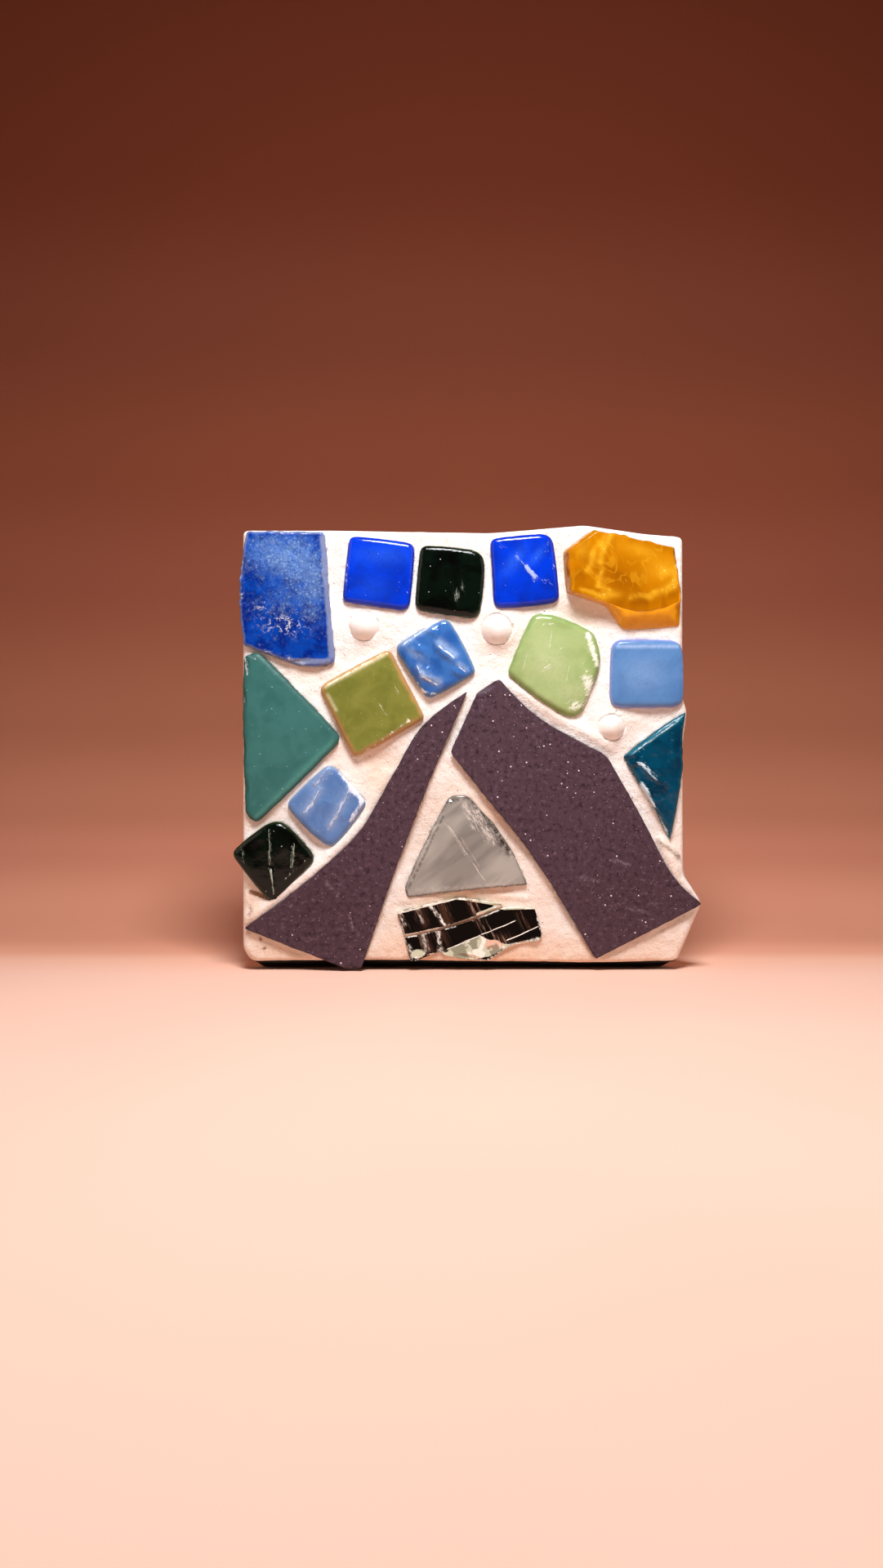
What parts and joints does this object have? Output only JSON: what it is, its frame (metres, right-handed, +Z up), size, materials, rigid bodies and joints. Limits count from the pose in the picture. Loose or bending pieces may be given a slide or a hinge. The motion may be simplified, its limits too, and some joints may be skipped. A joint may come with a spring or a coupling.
{
  "type": "mosaic panel",
  "caption": "Small square hand-made mosaic panel: glass and porcelain pieces bedded in white grout show a tent under a blue sky; stands upright on its lower edge or is fixed by its back.",
  "frame": {"origin": "on the flat foot, below the middle of the grout block", "axes": "+Z up along the block's height, the mosaic face looks along -Y, +X to the right of someone who looks at the face"},
  "size_m": [0.0712, 0.0186, 0.068],
  "materials": {
    "grout": "sandy hand-trowelled cement grout, off-white",
    "speckled_glass": "opaque vitreous glass, ultramarine with pale speckles",
    "cobalt_glass": "opaque pressed glass, glossy cobalt",
    "black_glass": "opaque pressed glass, glossy black with a green edge",
    "amber_glass": "broken chunk of honey-coloured glass with swirls",
    "rippled_blue_glass": "denim blue glass with raised ripples",
    "olive_glass": "translucent-looking olive glass with an amber rim",
    "pale_green_glass": "frosted pale green glass",
    "sky_glass": "satin light blue glass",
    "teal_glass": "matte teal vitreous glass",
    "periwinkle_glass": "periwinkle glass with pale ridges",
    "petrol_glass": "glossy dark petrol-blue glass",
    "plum_porcelain": "unglazed flecked porcelain, plum",
    "grey_glass": "opalescent warm grey glass, scratched",
    "mirror_glass": "silvered glass, cracked and chipped",
    "white_glass": "opaque white glass, glossy"
  },
  "bodies": {
    "root": {"grout_block": "grout", "speckled_blue_tile": "speckled_glass", "cobalt_tile_left": "cobalt_glass", "black_tile_top": "black_glass", "cobalt_tile_right": "cobalt_glass", "amber_glass_piece": "amber_glass", "rippled_blue_tile": "rippled_blue_glass", "olive_tile": "olive_glass", "pale_green_tile": "pale_green_glass", "sky_blue_tile": "sky_glass", "teal_triangle_tile": "teal_glass", "periwinkle_tile": "periwinkle_glass", "black_tile_left": "black_glass", "petrol_wedge": "petrol_glass", "tent_flap_left": "plum_porcelain", "tent_flap_right": "plum_porcelain", "grey_glass_triangle": "grey_glass", "mirror_strip_upper": "mirror_glass", "mirror_strip_lower": "mirror_glass", "white_bead_left": "white_glass", "white_bead_middle": "white_glass", "white_bead_right": "white_glass"}
  },
  "joints": []
}
